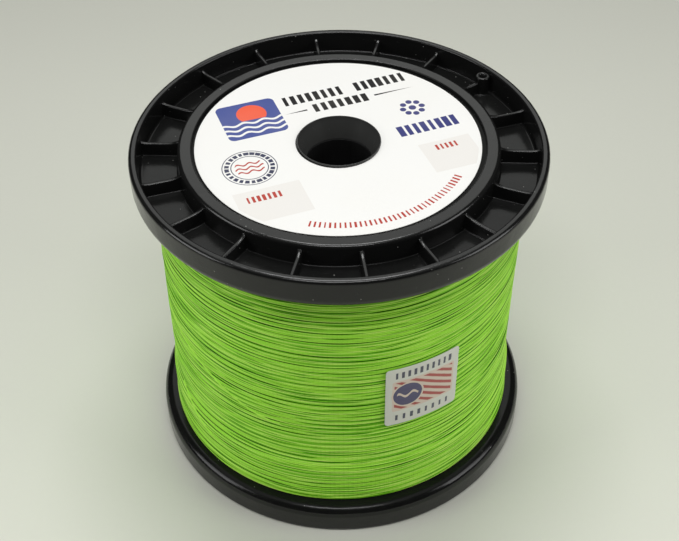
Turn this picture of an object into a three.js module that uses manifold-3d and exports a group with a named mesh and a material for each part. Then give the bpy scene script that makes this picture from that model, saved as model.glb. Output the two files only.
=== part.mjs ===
// A bulk spool of braided fishing line: two ribbed moulded flanges on a winding drum and a hub
// tube, the wound line between them, a paper label in the top flange and a foil sticker on the line.
//
// Millimetres. +Z runs up the spool's axis, the origin is the middle of the face it stands on, and
// the side that carries the foil sticker faces -Y. Every round is cut into the same number of
// facets, starting at the same angle, so nested rounds keep an even gap.
import * as THREE from "three";
import { mergeVertices } from "three/addons/utils/BufferGeometryUtils.js";
import Module from "manifold-3d";

const wasm = await Module();
wasm.setup();

// Driving dimensions
const FLANGE_RADIUS = 80;
const SPOOL_HEIGHT = 140.5;
const FLANGE_HEIGHT = 12.8;
const BORE_RADIUS = 12.7; // a one-inch spindle hole
const DRUM_RADIUS = 60; // the surface that the line is wound on
const FACETS = 72;
const FIT_GAP = 0.2; // between pieces that seat in one another
const FACE_GAP = 0.1; // between pieces that lie flat on one another

// Flange moulding. Depths are measured from its outer face towards the line.
const RIM_WALL = 3;
const RIM_EDGE = 1.2; // the rounded outer corner beside the outer face
const LINE_SIDE_EDGE = 4; // radius of the outer corner beside the line
const WALL_EDGE = 0.8; // the rounded top corners of the ring and of the rim's inner wall
const POCKET_DEPTH = 9;
const POCKET_DRAFT = 0.6; // how far each pocket wall leans in by the floor
const RING_INNER_RADIUS = 56.2;
const RING_OUTER_RADIUS = 61.5;
const RING_TOP_DEPTH = 0.4; // the spool stands on its rim, not on its ring
const RECESS_DEPTH = 1.7;
const PLATE_THICKNESS = 2.6;
const CONE_MOUTH_RADIUS = 16;
const CONE_DEPTH = POCKET_DEPTH;
const TUBE_STOP = 0.3; // the lip that the hub tube's end stops against
const SLEEVE_DEPTH = 24;
const SLEEVE_WALL = 2;
const SPIGOT_DEPTH = 14;
const SPIGOT_WALL = 2;

// Ribs between the ring and the rim, and the round boss that stands on one of them
const RIB_COUNT = 18;
const RIB_FIRST_ANGLE = -17; // degrees from +X in the flange's own frame
const RIB_THICKNESS = 1.5;
const RIB_DEPTH = 3.7;
const RIB_RING_END_DEPTH = 2.4;
const RIB_RIM_END_DEPTH = 2.8;
const RIB_ROOT = 1; // how far a rib's ends and foot run into the walls and the web
const BOSS_ANGLE = RIB_FIRST_ANGLE - 20;
const BOSS_CENTRE_RADIUS = 74.2;
const BOSS_RADIUS = 2.9;
const BOSS_TOP_DEPTH = 1.5;
const BOSS_HOLE_RADIUS = 1.4;

// Tubes, line, label and sticker
const DRUM_WALL = 2.4;
const HUB_WALL = 2.3;
const PACK_RADIUS = 72.4;
const PACK_LOW_RADIUS = 74; // the lower layers stand a little proud
const PACK_LOW_TOP = 32;
const PACK_STEP_TOP = 42;
const LABEL_RADIUS = 54.8;
const LABEL_HOLE_RADIUS = 16.3;
const LABEL_THICKNESS = 0.25;
const LABEL_OFFSET = -0.35; // the label sits a little to one side of its recess
const STICKER_SIZE = 31.2;
const STICKER_CORNER = 1.5;
const STICKER_THICKNESS = 0.25;
const STICKER_CENTRE_ANGLE = -64.7; // degrees from +X
const STICKER_CENTRE_HEIGHT = 71.2;
const STICKER_INNER_RADIUS = PACK_RADIUS + 0.4;

const webThickness = FLANGE_HEIGHT - POCKET_DEPTH;
const plateUnderside = RECESS_DEPTH + PLATE_THICKNESS;
const rimInnerRadius = FLANGE_RADIUS - RIM_WALL;
const drumInnerRadius = DRUM_RADIUS - DRUM_WALL;
const hubRadius = BORE_RADIUS + HUB_WALL;

const materials = {
  plastic: new THREE.MeshStandardMaterial({ color: 0x1b1c1d, roughness: 0.45 }),
  tube: new THREE.MeshStandardMaterial({ color: 0x161718, roughness: 0.6 }),
  line: new THREE.MeshStandardMaterial({ color: 0x6ea832, roughness: 0.75 }),
  paper: new THREE.MeshStandardMaterial({ color: 0xf7f6f0, roughness: 0.6 }),
  foil: new THREE.MeshStandardMaterial({
    color: 0xb6bac0,
    roughness: 0.35,
    metalness: 0.7,
  }),
};

// Turns a closed three.js geometry into a solid that can be joined and cut.
function solidOf(geometry) {
  const bare = geometry.index ? geometry.toNonIndexed() : geometry.clone();
  bare.deleteAttribute("normal");
  bare.deleteAttribute("uv");
  const merged = mergeVertices(bare, 1e-4);
  return new wasm.Manifold(
    new wasm.Mesh({
      numProp: 3,
      vertProperties: new Float32Array(merged.attributes.position.array),
      triVerts: new Uint32Array(merged.index.array),
    }),
  );
}

function geometryOf(solid) {
  const mesh = solid.getMesh();
  const geometry = new THREE.BufferGeometry();
  const positions = new THREE.BufferAttribute(mesh.vertProperties, 3);
  geometry.setAttribute("position", positions);
  geometry.setIndex(new THREE.BufferAttribute(mesh.triVerts, 1));
  geometry.computeVertexNormals();
  return geometry;
}

// Turns a closed outline of [radius, height] corners about the Z axis. The corners run
// anticlockwise, seen with the radius to the right and the height upwards.
function turned(corners) {
  const points = corners.map(([radius, height]) => new THREE.Vector2(radius, height));
  points.push(points[0].clone());
  return new THREE.LatheGeometry(points, FACETS).rotateX(Math.PI / 2);
}

function tube(innerRadius, outerRadius, bottom, top) {
  return turned([
    [innerRadius, bottom],
    [outerRadius, bottom],
    [outerRadius, top],
    [innerRadius, top],
  ]);
}

// Stands an outline drawn with its radius along X and its height along Y on edge, so that it lies
// in the plane through the Z axis and +X, with the given thickness centred on that plane.
function standingPlate(shape, thickness) {
  const geometry = new THREE.ExtrudeGeometry(shape, {
    depth: thickness,
    curveSegments: 3,
    bevelEnabled: false,
  });
  return geometry.rotateX(Math.PI / 2).translate(0, thickness / 2, 0);
}

// The flange without its ribs. Its outer face is at height 0 and its line side is above.
function flangeShell() {
  const socketInner = drumInnerRadius - FIT_GAP;
  const spigotInner = socketInner - SPIGOT_WALL;
  const sleeveInner = hubRadius + FIT_GAP;
  const sleeveOuter = sleeveInner + SLEEVE_WALL;
  const tubeEnd = CONE_DEPTH + TUBE_STOP;
  const outerFaceAndPocket = [
    [CONE_MOUTH_RADIUS, RECESS_DEPTH],
    [BORE_RADIUS, CONE_DEPTH],
    [BORE_RADIUS, tubeEnd],
    [sleeveInner, tubeEnd],
    [sleeveInner, SLEEVE_DEPTH],
    [sleeveOuter, SLEEVE_DEPTH],
    [sleeveOuter + 1, plateUnderside],
    [spigotInner, plateUnderside],
    [spigotInner, SPIGOT_DEPTH],
    [socketInner, SPIGOT_DEPTH],
    [socketInner, plateUnderside],
    [DRUM_RADIUS + FIT_GAP, plateUnderside],
    [DRUM_RADIUS + FIT_GAP, FLANGE_HEIGHT],
  ];
  const shoulder = [0, 1 / 3, 2 / 3, 1].map((share) => {
    const angle = (Math.PI / 2) * (1 - share);
    return [
      FLANGE_RADIUS - LINE_SIDE_EDGE * (1 - Math.cos(angle)),
      FLANGE_HEIGHT - LINE_SIDE_EDGE * (1 - Math.sin(angle)),
    ];
  });
  const rim = [
    ...shoulder,
    [FLANGE_RADIUS, RIM_EDGE],
    [FLANGE_RADIUS - RIM_EDGE, 0],
    [rimInnerRadius + WALL_EDGE, 0],
    [rimInnerRadius, WALL_EDGE],
    [rimInnerRadius - POCKET_DRAFT, POCKET_DEPTH],
  ];
  const ring = [
    [RING_OUTER_RADIUS + POCKET_DRAFT, POCKET_DEPTH],
    [RING_OUTER_RADIUS, RING_TOP_DEPTH + WALL_EDGE],
    [RING_OUTER_RADIUS - WALL_EDGE, RING_TOP_DEPTH],
    [RING_INNER_RADIUS + WALL_EDGE, RING_TOP_DEPTH],
    [RING_INNER_RADIUS, RING_TOP_DEPTH + WALL_EDGE],
    [RING_INNER_RADIUS, RECESS_DEPTH],
  ];
  const outline = [...outerFaceAndPocket, ...rim, ...ring];
  return turned(outline.reverse());
}

// One rib, along +X: its free edge sags between the ring and the rim.
function rib() {
  const ringEnd = RING_OUTER_RADIUS - RIB_ROOT / 2;
  const rimEnd = rimInnerRadius + RIB_ROOT;
  const foot = POCKET_DEPTH + RIB_ROOT;
  const shape = new THREE.Shape();
  shape.moveTo(ringEnd, foot);
  shape.lineTo(ringEnd, RIB_RING_END_DEPTH);
  shape.quadraticCurveTo(ringEnd + 2, RIB_DEPTH, ringEnd + 5, RIB_DEPTH);
  shape.lineTo(rimEnd - 4, RIB_DEPTH);
  shape.quadraticCurveTo(rimEnd - 2, RIB_DEPTH, rimEnd, RIB_RIM_END_DEPTH);
  shape.lineTo(rimEnd, foot);
  shape.closePath();
  return standingPlate(shape, RIB_THICKNESS);
}

// A round post or hole along Z, with its middle at the given radius along +X.
function postAlongX(centreRadius, radius, bottom, top) {
  const post = new THREE.CylinderGeometry(radius, radius, top - bottom, 16);
  return post.rotateX(Math.PI / 2).translate(centreRadius, 0, (bottom + top) / 2);
}

function flange() {
  let solid = solidOf(flangeShell());
  for (let i = 0; i < RIB_COUNT; i += 1) {
    const angle = RIB_FIRST_ANGLE - (i * 360) / RIB_COUNT;
    solid = solid.add(solidOf(rib().rotateZ(THREE.MathUtils.degToRad(angle))));
  }
  const bossAngle = THREE.MathUtils.degToRad(BOSS_ANGLE);
  const bossFoot = FLANGE_HEIGHT - webThickness / 2;
  const boss = postAlongX(BOSS_CENTRE_RADIUS, BOSS_RADIUS, BOSS_TOP_DEPTH, bossFoot);
  const hole = postAlongX(BOSS_CENTRE_RADIUS, BOSS_HOLE_RADIUS, 0, FLANGE_HEIGHT + 1);
  solid = solid.add(solidOf(boss.rotateZ(bossAngle)));
  solid = solid.subtract(solidOf(hole.rotateZ(bossAngle)));
  return geometryOf(solid);
}

function windingDrum() {
  const seat = plateUnderside + FIT_GAP;
  return tube(drumInnerRadius, DRUM_RADIUS, seat, SPOOL_HEIGHT - seat);
}

function hubTube() {
  const seat = CONE_DEPTH + TUBE_STOP + FIT_GAP;
  return tube(BORE_RADIUS, hubRadius, seat, SPOOL_HEIGHT - seat);
}

function linePack() {
  const bottom = FLANGE_HEIGHT + FIT_GAP;
  const top = SPOOL_HEIGHT - FLANGE_HEIGHT - FIT_GAP;
  const inner = DRUM_RADIUS + FIT_GAP;
  return turned([
    [inner, bottom],
    [PACK_LOW_RADIUS, bottom],
    [PACK_LOW_RADIUS, PACK_LOW_TOP],
    [PACK_RADIUS, PACK_STEP_TOP],
    [PACK_RADIUS, top],
    [inner, top],
  ]);
}

function topLabel() {
  const bottom = SPOOL_HEIGHT - RECESS_DEPTH + FACE_GAP;
  return tube(LABEL_HOLE_RADIUS, LABEL_RADIUS, bottom, bottom + LABEL_THICKNESS);
}

function roundedSquare(size, corner) {
  const half = size / 2;
  const shape = new THREE.Shape();
  shape.moveTo(half, -half + corner);
  shape.absarc(half - corner, half - corner, corner, 0, Math.PI / 2);
  shape.absarc(-half + corner, half - corner, corner, Math.PI / 2, Math.PI);
  shape.absarc(-half + corner, -half + corner, corner, Math.PI, 1.5 * Math.PI);
  shape.absarc(half - corner, -half + corner, corner, 1.5 * Math.PI, 2 * Math.PI);
  return shape;
}

// The sticker wraps round the line: a curved strip, with its corners rounded by a square plug that
// runs along the radius through its middle.
function sideSticker() {
  const outer = STICKER_INNER_RADIUS + STICKER_THICKNESS;
  const middle = THREE.MathUtils.degToRad(STICKER_CENTRE_ANGLE);
  const halfAngle = STICKER_SIZE / 2 / outer;
  const strip = new THREE.Shape();
  strip.absarc(0, 0, outer, middle - halfAngle, middle + halfAngle, false);
  strip.absarc(0, 0, STICKER_INNER_RADIUS, middle + halfAngle, middle - halfAngle, true);
  const curved = new THREE.ExtrudeGeometry(strip, {
    depth: STICKER_SIZE,
    curveSegments: 10,
    bevelEnabled: false,
  }).translate(0, 0, STICKER_CENTRE_HEIGHT - STICKER_SIZE / 2);
  const plugLength = 2 * STICKER_INNER_RADIUS;
  const plug = new THREE.ExtrudeGeometry(roundedSquare(STICKER_SIZE - 0.3, STICKER_CORNER), {
    depth: plugLength,
    curveSegments: 4,
    bevelEnabled: false,
  })
    .rotateX(Math.PI / 2)
    .rotateZ(middle + Math.PI / 2)
    .translate(0, 0, STICKER_CENTRE_HEIGHT);
  return geometryOf(solidOf(curved).intersect(solidOf(plug)));
}

function piece(name, geometry, material) {
  const mesh = new THREE.Mesh(geometry, material);
  mesh.name = name;
  return mesh;
}

// The bottom flange stands half a turn round, with its boss at the back.
const bottomFlange = piece("bottom_flange", flange(), materials.plastic);
bottomFlange.rotation.z = Math.PI;

// The top flange is the same moulding turned over.
const topFlange = piece("top_flange", flange(), materials.plastic);
topFlange.rotation.x = Math.PI;
topFlange.position.z = SPOOL_HEIGHT;

const label = piece("top_label", topLabel(), materials.paper);
label.position.x = LABEL_OFFSET;

const spool = new THREE.Group();
spool.add(bottomFlange, topFlange, label);
spool.add(piece("winding_drum", windingDrum(), materials.tube));
spool.add(piece("hub_tube", hubTube(), materials.tube));
spool.add(piece("line_pack", linePack(), materials.line));
spool.add(piece("side_sticker", sideSticker(), materials.foil));

export default spool;
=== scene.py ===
"""The looks of a bulk spool of braided fishing line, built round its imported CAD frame.

Lengths in the constants are millimetres. The outlines of turned pieces are (radius, height)
corners in millimetres, each with the radius of its rounding.
"""

import math

import bmesh
import bpy
import numpy as np
from mathutils import Matrix, Vector


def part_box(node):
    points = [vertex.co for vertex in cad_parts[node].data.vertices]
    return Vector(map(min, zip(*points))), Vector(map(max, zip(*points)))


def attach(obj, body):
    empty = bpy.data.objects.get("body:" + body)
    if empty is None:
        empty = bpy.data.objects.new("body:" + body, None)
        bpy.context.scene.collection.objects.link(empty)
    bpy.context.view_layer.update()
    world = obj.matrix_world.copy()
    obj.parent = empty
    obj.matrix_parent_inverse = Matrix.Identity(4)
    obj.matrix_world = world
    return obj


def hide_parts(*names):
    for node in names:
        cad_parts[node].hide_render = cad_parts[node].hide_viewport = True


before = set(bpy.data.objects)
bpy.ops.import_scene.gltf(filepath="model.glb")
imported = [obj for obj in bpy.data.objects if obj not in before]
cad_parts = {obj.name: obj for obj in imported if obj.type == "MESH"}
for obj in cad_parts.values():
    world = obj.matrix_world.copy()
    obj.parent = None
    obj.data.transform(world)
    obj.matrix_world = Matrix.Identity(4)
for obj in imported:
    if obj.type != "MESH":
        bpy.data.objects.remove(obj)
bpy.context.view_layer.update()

MM = 0.001
FULL_TURN = 2 * math.pi
FIT_GAP = 0.2


def box_mm(node):
    """The lowest and highest corner of a CAD node, in millimetres."""
    low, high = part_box(node)
    return low / MM, high / MM


# Sizes that the frame gives
flange_low, flange_high = box_mm("bottom_flange")
drum_low, drum_high = box_mm("winding_drum")
hub_low, hub_high = box_mm("hub_tube")
pack_low, pack_high = box_mm("line_pack")
label_low, label_high = box_mm("top_label")
sticker_low, sticker_high = box_mm("side_sticker")
SPOOL_HEIGHT = box_mm("top_flange")[1].z
FLANGE_RADIUS = flange_high.x
FLANGE_HEIGHT = round(pack_low.z - FIT_GAP, 2)
DRUM_RADIUS = drum_high.x
HUB_RADIUS = hub_high.x
LABEL_RADIUS = (label_high.x - label_low.x) / 2
LABEL_CENTRE_X = (label_high.x + label_low.x) / 2

# The flange moulding, as in the CAD source
BORE_RADIUS = 12.7
RIM_WALL = 3.0
POCKET_DEPTH = 9.0
POCKET_DRAFT = 0.6
RING_INNER_RADIUS = 56.2
RING_OUTER_RADIUS = 61.5
RING_TOP_DEPTH = 0.4
RECESS_DEPTH = 1.7
PLATE_UNDERSIDE = 4.3
CONE_MOUTH_RADIUS = 16.0
CONE_LIP_HEIGHT = 1.2
TUBE_END_DEPTH = 9.3
DRUM_WALL = 2.4
SOCKET_WALL = 2.0
SPIGOT_TOP = 14.0
SLEEVE_TOP = 24.0
RIB_COUNT = 18
RIB_FIRST_ANGLE = math.radians(-17)
RIB_DEPTH = 3.7
RIB_RING_END_DEPTH = 2.4
RIB_RIM_END_DEPTH = 2.8
RIB_RING_RISE_LENGTH = 4.6
RIB_RIM_RISE_LENGTH = 3.0
RIB_HALF_THICKNESS = 0.75
RIB_TOP_ROUNDING = 0.45
RIB_DRAFT = 0.12
RIB_FOOT_ROUNDING = 0.6
POCKET_COLUMNS = 5
BOSS_ANGLE = RIB_FIRST_ANGLE - FULL_TURN / RIB_COUNT
BOSS_CENTRE_RADIUS = 74.2
BOSS_RADIUS = 2.9
BOSS_FILLET = 0.6
BOSS_TOP_DEPTH = 1.5
BOSS_HOLE_RADIUS = 1.4

# Colours, as linear red, green and blue
PLASTIC_BLACK = (0.0062, 0.0063, 0.0062)
PLASTIC_FLOW_BLACK = (0.0105, 0.0107, 0.0103)
PLASTIC_SCRATCH = (0.03, 0.031, 0.03)
# Painted light: a lighter black for the cone round the bore, standing in for the light it reflects from
# above
PLASTIC_CONE_PAINTED_LIGHT = (0.042, 0.0425, 0.041)
TUBE_BLACK = (0.004, 0.004, 0.004)
TUBE_LINE_BLACK = (0.009, 0.009, 0.009)
DUST_GREY = (0.3, 0.3, 0.28)
LINE_GREEN_PALE = (0.64, 1.0, 0.16)
LINE_GREEN = (0.46, 0.95, 0.066)
LINE_GREEN_DEEP = (0.18, 0.60, 0.008)
# Painted shade for the braid's grooves and between the strands
LINE_GREEN_SHADE = (0.07, 0.38, 0.002)
LINE_GREEN_GAP_SHADE = (0.008, 0.10, 0.0003)
LABEL_WHITE = (0.855, 0.85, 0.825)
LABEL_AGED = (0.8, 0.74, 0.6)
FIELD_GREY = (0.80, 0.78, 0.745)
INK_DARK = (0.014, 0.013, 0.014)
INK_SLATE = (0.05, 0.055, 0.10)
INK_BLUE = (0.07, 0.095, 0.30)
INK_NAVY = (0.045, 0.05, 0.19)
INK_ORANGE = (0.83, 0.12, 0.06)
INK_RED = (0.45, 0.05, 0.035)
FOIL_SILVER = (0.80, 0.805, 0.74)
PANEL_CREAM = (0.82, 0.68, 0.58)
STICKER_RED = (0.48, 0.06, 0.05)
STICKER_BLUE = (0.06, 0.05, 0.16)
FLOOR_PALE = (0.648, 0.655, 0.58)
FLOOR_PALER = (0.663, 0.67, 0.595)
SKY_WHITE = (0.985, 1.0, 0.97, 1.0)


# Mesh helpers


def link(name, data):
    """A new object in the scene."""
    made = bpy.data.objects.new(name, data)
    bpy.context.scene.collection.objects.link(made)
    return made


def new_object(name, vertices_mm, faces, sharp_angle=None):
    """An object with vertices in millimetres, shaded smooth but for corners over the sharp angle."""
    mesh = bpy.data.meshes.new(name)
    mesh.from_pydata((np.asarray(vertices_mm) * MM).tolist(), [], faces)
    mesh.validate()
    mesh.shade_smooth()
    if sharp_angle:
        mesh.set_sharp_from_angle(angle=sharp_angle)
    return link(name, mesh)


def around_axis(radii, angles, heights):
    """Points round the Z axis, from arrays that are spread over each other."""
    parts = (radii * np.cos(angles), radii * np.sin(angles), heights)
    return np.stack(np.broadcast_arrays(*parts), axis=-1).reshape(-1, 3)


def grid_faces(rows, columns, capped=False):
    """Quads over a grid of vertices numbered row by row. Each row is a ring. The last row joins the
    first, or where capped is true both are closed with a face."""
    faces = []
    for row in range(rows - 1 if capped else rows):
        here = row * columns
        above = (row + 1) % rows * columns
        for column in range(columns):
            following = (column + 1) % columns
            faces.append((here + column, here + following, above + following, above + column))
    if capped:
        faces.append(tuple(reversed(range(columns))))
        faces.append(tuple(range((rows - 1) * columns, rows * columns)))
    return faces


def rounded_corner(before, corner, after, rounding, steps, support):
    """Points that round one corner of an outline, with a support point on each side of the arc."""
    corner = np.array(corner)
    back = np.array(before) - corner
    ahead = np.array(after) - corner
    back_length, ahead_length = np.linalg.norm(back), np.linalg.norm(ahead)
    back, ahead = back / back_length, ahead / ahead_length
    opening = math.acos(np.clip(back @ ahead, -1, 1))
    if rounding <= 0 or opening > math.radians(178):
        return [corner]
    reach = rounding / math.tan(opening / 2)
    reach = min(reach, 0.49 * back_length, 0.49 * ahead_length)
    rounding = reach * math.tan(opening / 2)
    middle = (back + ahead) / np.linalg.norm(back + ahead)
    centre = corner + middle * rounding / math.sin(opening / 2)
    start = corner + back * reach - centre
    turn = math.pi - opening
    if start[0] * (corner - centre)[1] - start[1] * (corner - centre)[0] < 0:
        turn = -turn
    points = []
    if back_length > reach + 2 * support:
        points.append(corner + back * (reach + support))
    for step in range(steps + 1):
        angle = turn * step / steps
        cosine, sine = math.cos(angle), math.sin(angle)
        across = start[0] * cosine - start[1] * sine
        upward = start[0] * sine + start[1] * cosine
        points.append(centre + np.array([across, upward]))
    if ahead_length > reach + 2 * support:
        points.append(corner + ahead * (reach + support))
    return points


def rounded_outline(corners, steps=4, support=0.15, longest=None):
    """The closed outline through (radius, height, rounding) corners. Straight stretches over the
    longest length are divided."""
    points = []
    for index, (radius, height, rounding) in enumerate(corners):
        before = corners[index - 1][:2]
        after = corners[(index + 1) % len(corners)][:2]
        points += rounded_corner(before, (radius, height), after, rounding, steps, support)
    if longest is None:
        return points
    divided = []
    for index, point in enumerate(points):
        divided.append(point)
        step = points[(index + 1) % len(points)] - point
        parts = math.ceil(np.linalg.norm(step) / longest)
        divided += [point + step * part / parts for part in range(1, parts)]
    return divided


def turned(name, outline, columns=180, sharp_angle=None):
    """A closed outline, anticlockwise with the radius to the right, turned about the Z axis."""
    angles = np.arange(columns) * FULL_TURN / columns
    outline = np.array(outline)
    vertices = around_axis(outline[:, :1], angles, outline[:, 1:])
    return new_object(name, vertices, grid_faces(len(outline), columns), sharp_angle)


def apply_modifiers(piece):
    """Replaces a piece's mesh with its evaluated one and clears its modifiers."""
    graph = bpy.context.evaluated_depsgraph_get()
    mesh = bpy.data.meshes.new_from_object(piece.evaluated_get(graph))
    old = piece.data
    piece.modifiers.clear()
    piece.data = mesh
    bpy.data.meshes.remove(old)


def combine(piece, other, operation):
    """Joins the other object to the piece, or cuts it away, and removes it."""
    cut = piece.modifiers.new("cut", "BOOLEAN")
    cut.operation = operation
    cut.solver = "EXACT"
    cut.object = other
    apply_modifiers(piece)
    bpy.data.objects.remove(other)


# Node helpers


class Graph:
    """A node tree with short calls for the nodes used here. Values are numbers or sockets."""

    def __init__(self, tree):
        self.tree = tree
        tree.nodes.clear()

    def add(self, kind, settings=None, **inputs):
        node = self.tree.nodes.new(kind)
        for key, value in (settings or {}).items():
            setattr(node, key, value)
        for key, value in inputs.items():
            self.feed(node.inputs[key.replace("_", " ")], value)
        return node

    def fed(self, kind, settings, values):
        """The outputs of a node whose inputs take the values in their order."""
        node = self.add(kind, settings)
        for socket, value in zip(node.inputs, values):
            self.feed(socket, value)
        return node.outputs

    def feed(self, socket, value):
        if isinstance(value, bpy.types.NodeSocket):
            self.tree.links.new(value, socket)
        else:
            socket.default_value = value

    def math(self, operation, *values):
        return self.fed("ShaderNodeMath", {"operation": operation}, values)[0]

    def plus(self, *values):
        return self.math("ADD", *values)

    def minus(self, *values):
        return self.math("SUBTRACT", *values)

    def times(self, *values):
        return self.math("MULTIPLY", *values)

    def apart(self, *values):
        return self.math("ABSOLUTE", self.minus(*values))

    def vector(self, operation, *values):
        outputs = self.fed("ShaderNodeVectorMath", {"operation": operation}, values)
        return outputs["Value" if operation == "LENGTH" else "Vector"]

    def split(self, vector):
        return self.add("ShaderNodeSeparateXYZ", Vector=vector).outputs

    def join(self, x, y, z=0.0):
        return self.add("ShaderNodeCombineXYZ", X=x, Y=y, Z=z).outputs[0]

    def between(self, value, low, high, out_low=0.0, out_high=1.0):
        """The value eased from low to high, as out_low to out_high."""
        values = (value, low, high, out_low, out_high)
        return self.fed("ShaderNodeMapRange", {"interpolation_type": "SMOOTHSTEP"}, values)[0]

    def noise(self, vector, scale, detail=2.0, roughness=0.5):
        inputs = {"Scale": scale, "Detail": detail, "Roughness": roughness}
        return self.add("ShaderNodeTexNoise", Vector=vector, **inputs).outputs[0]

    def mix(self, factor, low, high):
        """Colour low where the factor is 0 and high where it is 1."""
        node = self.add("ShaderNodeMix", {"data_type": "RGBA"})
        for index, value in ((0, factor), (6, low), (7, high)):
            if isinstance(value, tuple):
                value = (*value, 1.0)
            self.feed(node.inputs[index], value)
        return node.outputs[2]

    def bump(self, height, distance_mm, strength=1.0, normal=None):
        node = self.add("ShaderNodeBump", Strength=strength, Distance=distance_mm * MM, Height=height)
        if normal:
            self.feed(node.inputs["Normal"], normal)
        return node.outputs[0]


def position_mm(graph):
    """The point's place in the row frame, in millimetres."""
    place = graph.add("ShaderNodeTexCoord").outputs["Object"]
    return graph.vector("MULTIPLY", place, (1 / MM, 1 / MM, 1 / MM))


def material(name, build):
    """A material whose Principled shader takes the inputs that build(graph) returns."""
    made = bpy.data.materials.new(name)
    made.use_nodes = True
    graph = Graph(made.node_tree)
    shader = graph.add("ShaderNodeBsdfPrincipled", **build(graph))
    graph.add("ShaderNodeOutputMaterial", Surface=shader.outputs[0])
    return made


# Materials

PLASTIC_GLOSS = 0.38
CREVICE_GLOSS = 0.04
CREVICE_HALF_WIDTH = 0.9


def plastic_gloss(graph, place, from_axis):
    """How strongly the plastic reflects: little in the crevice round the label, and from the pockets'
    floors inwards half as much as elsewhere."""
    crevice = RING_INNER_RADIUS - CREVICE_HALF_WIDTH
    from_crevice = graph.apart(from_axis, crevice)
    edge = (CREVICE_HALF_WIDTH, CREVICE_HALF_WIDTH + 0.4)
    gloss = graph.between(from_crevice, *edge, CREVICE_GLOSS, PLASTIC_GLOSS)
    middle = SPOOL_HEIGHT / 2
    from_middle = graph.math("ABSOLUTE", graph.minus(graph.split(place)[2], middle))
    floor_level = middle - POCKET_DEPTH
    floor = graph.between(from_middle, floor_level + 0.4, floor_level + 0.1)
    within_rim = graph.between(from_axis, FLANGE_RADIUS - 1, FLANGE_RADIUS - 2)
    floor = graph.times(floor, within_rim)
    return graph.times(gloss, graph.math("MULTIPLY_ADD", floor, -0.5, 1.0))


def moulded_plastic(graph):
    """Black satin polystyrene: soft flow marks, fine moulding grain, hair scratches and dust, with
    painted light on the cone round the bore.
    """
    place = position_mm(graph)
    flow = graph.noise(place, 0.06, detail=3.0)
    grain = graph.noise(place, 2.6, detail=3.0)
    stretched = graph.vector("MULTIPLY", place, (0.15, 1.6, 0.4))
    scratches = graph.between(graph.noise(stretched, 1.1, detail=5.0, roughness=0.7), 0.62, 0.72)
    specks = graph.add("ShaderNodeTexVoronoi", Vector=place, Scale=0.33)
    dust = graph.between(specks.outputs["Distance"], 0.085, 0.045)
    dust = graph.times(dust, graph.between(graph.noise(place, 0.11), 0.5, 0.62))
    colour = graph.mix(flow, PLASTIC_BLACK, PLASTIC_FLOW_BLACK)
    colour = graph.mix(graph.times(scratches, 0.25), colour, PLASTIC_SCRATCH)
    colour = graph.mix(graph.times(dust, 0.9), colour, DUST_GREY)
    from_axis = graph.vector("LENGTH", graph.vector("MULTIPLY", place, (1.0, 1.0, 0.0)))
    # Painted light: the cone round the bore is lighter, standing in for the light it reflects from
    # above.
    cone_painted_light = graph.between(from_axis, CONE_MOUTH_RADIUS + 1.0, CONE_MOUTH_RADIUS - 1.0)
    colour = graph.mix(cone_painted_light, colour, PLASTIC_CONE_PAINTED_LIGHT)
    gloss = plastic_gloss(graph, place, from_axis)
    rough = graph.between(flow, 0.3, 0.7, 0.14, 0.2)
    rough = graph.plus(rough, graph.times(scratches, 0.12))
    normal = graph.bump(graph.plus(grain, graph.times(scratches, -0.5)), 0.012)
    normal = graph.bump(flow, 0.35, normal=normal)
    return dict(Base_Color=colour, Specular_IOR_Level=gloss, Roughness=rough, Normal=normal)


def tube_plastic(graph):
    """Dull black extruded tube, with fine draw lines along it."""
    place = position_mm(graph)
    along = graph.vector("MULTIPLY", place, (3.0, 3.0, 0.03))
    lines = graph.noise(along, 1.0, detail=3.0)
    return dict(
        Base_Color=graph.mix(lines, TUBE_BLACK, TUBE_LINE_BLACK),
        Roughness=graph.between(lines, 0.3, 0.7, 0.5, 0.65),
        Normal=graph.bump(lines, 0.03),
    )


BRAID_PITCH = 1.8


def braid_height(graph, along, across):
    """How high the carriers of a braid stand, from the distance along it and the share across it."""
    turn = graph.times(along, FULL_TURN / BRAID_PITCH)
    lean = graph.times(across, FULL_TURN)
    left = graph.math("SINE", graph.plus(turn, lean))
    right = graph.math("SINE", graph.minus(turn, lean))
    return graph.math("MAXIMUM", left, right)


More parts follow.
